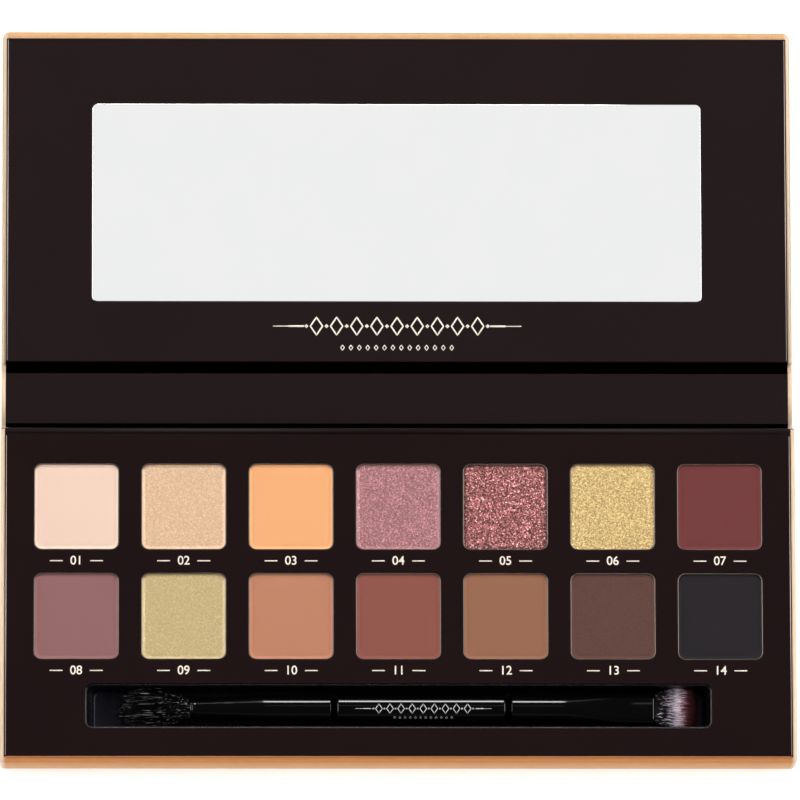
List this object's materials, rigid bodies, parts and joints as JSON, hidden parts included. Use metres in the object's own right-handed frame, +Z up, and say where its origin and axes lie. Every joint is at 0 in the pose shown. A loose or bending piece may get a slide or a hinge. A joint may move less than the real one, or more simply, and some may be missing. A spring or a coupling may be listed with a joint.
{
  "type": "eyeshadow palette",
  "caption": "Book-style card eyeshadow palette, open flat: flocked case, mirror lid on a folding spine, tray of pressed powders in metal pans, double-ended brush.",
  "frame": {"origin": "middle of the open palette's footprint, on the surface it lies on", "axes": "+X along the case's width to the right, +Y from the tray to the lid, +Z up out of the tray"},
  "size_m": [0.21, 0.1982, 0.0126],
  "materials": {
    "flocked_wrap": "short peach-gold flock, soft nap",
    "greyboard": "raw recycled grey board",
    "dark_printed_card": "dark chocolate printed paper, satin laminate",
    "fold_lining": "black lining paper, matt",
    "black_plastic": "thin moulded sheet, glossy black",
    "black_lacquer": "high-gloss black lacquer",
    "black_ferrule": "glossy black lacquered metal",
    "round_tuft_hair": "soft black bristles",
    "flat_tuft_hair": "synthetic bristles, black then white then dark red tips",
    "adhesive": "dried adhesive",
    "magnet": "nickel-plated disc",
    "mirror": "silvered sheet",
    "pan_metal": "pressed tin, thin rim",
    "ivory_matte": "matte pressed powder",
    "champagne_shimmer": "fine shimmer pressed powder",
    "orange_matte": "matte pressed powder",
    "pink_shimmer": "shimmer pressed powder",
    "mauve_glitter": "coarse glitter pressed powder",
    "gold_glitter": "gold glitter pressed powder",
    "burgundy_matte": "matte pressed powder",
    "mauve_matte": "matte pressed powder",
    "yellow_gold_shimmer": "fine shimmer pressed powder",
    "terracotta_matte": "matte pressed powder",
    "red_brown_matte": "matte pressed powder",
    "tan_brown_matte": "matte pressed powder",
    "dark_brown_matte": "matte pressed powder with a fine grain",
    "charcoal_matte": "matte pressed powder"
  },
  "bodies": {
    "tray": {"bottom_wrap": "flocked_wrap", "bottom_board": "greyboard", "front_wall": "greyboard", "left_wall": "greyboard", "right_wall": "greyboard", "rear_wall": "greyboard", "tray_wrap": "flocked_wrap", "rear_lining": "dark_printed_card", "pan_tray": "black_plastic", "brush_trough": "black_plastic", "face_plate": "dark_printed_card", "pan_adhesive": "adhesive", "tray_magnets": "magnet", "pan_01": "pan_metal", "pan_02": "pan_metal", "pan_03": "pan_metal", "pan_04": "pan_metal", "pan_05": "pan_metal", "pan_06": "pan_metal", "pan_07": "pan_metal", "pan_08": "pan_metal", "pan_09": "pan_metal", "pan_10": "pan_metal", "pan_11": "pan_metal", "pan_12": "pan_metal", "pan_13": "pan_metal", "pan_14": "pan_metal", "powder_01": "ivory_matte", "powder_02": "champagne_shimmer", "powder_03": "orange_matte", "powder_04": "pink_shimmer", "powder_05": "mauve_glitter", "powder_06": "gold_glitter", "powder_07": "burgundy_matte", "powder_08": "mauve_matte", "powder_09": "yellow_gold_shimmer", "powder_10": "terracotta_matte", "powder_11": "red_brown_matte", "powder_12": "tan_brown_matte", "powder_13": "dark_brown_matte", "powder_14": "charcoal_matte", "rear_fold_wrap": "flocked_wrap", "rear_fold_lining": "fold_lining"},
    "spine": {"spine_wrap": "flocked_wrap", "spine_board": "greyboard", "spine_lining": "dark_printed_card", "lid_fold_wrap": "flocked_wrap", "lid_fold_lining": "fold_lining"},
    "lid": {"lid_wrap": "flocked_wrap", "lid_board": "greyboard", "lid_panel": "dark_printed_card", "mirror": "mirror", "mirror_adhesive": "adhesive", "lid_magnets": "magnet"},
    "brush": {"brush_handle": "black_lacquer", "round_ferrule": "black_ferrule", "flat_ferrule": "black_ferrule", "round_tuft": "round_tuft_hair", "flat_tuft": "flat_tuft_hair"}
  },
  "joints": [
    {"name": "rear_fold", "type": "hinge", "parent": "tray", "child": "spine", "pos_m": [0, -0.0081, 0], "axis": [1, 0, 0], "range_deg": [0, 90], "deforming": ["rear_fold_wrap", "rear_fold_lining"]},
    {"name": "lid_fold", "type": "hinge", "parent": "spine", "child": "lid", "pos_m": [0, 0.0081, 0], "axis": [1, 0, 0], "range_deg": [0, 90], "deforming": ["lid_fold_wrap", "lid_fold_lining"]},
    {"name": "brush_lift", "type": "slide", "parent": "tray", "child": "brush", "axis": [0, 0, 1], "range_m": [0, 0.04]}
  ]
}
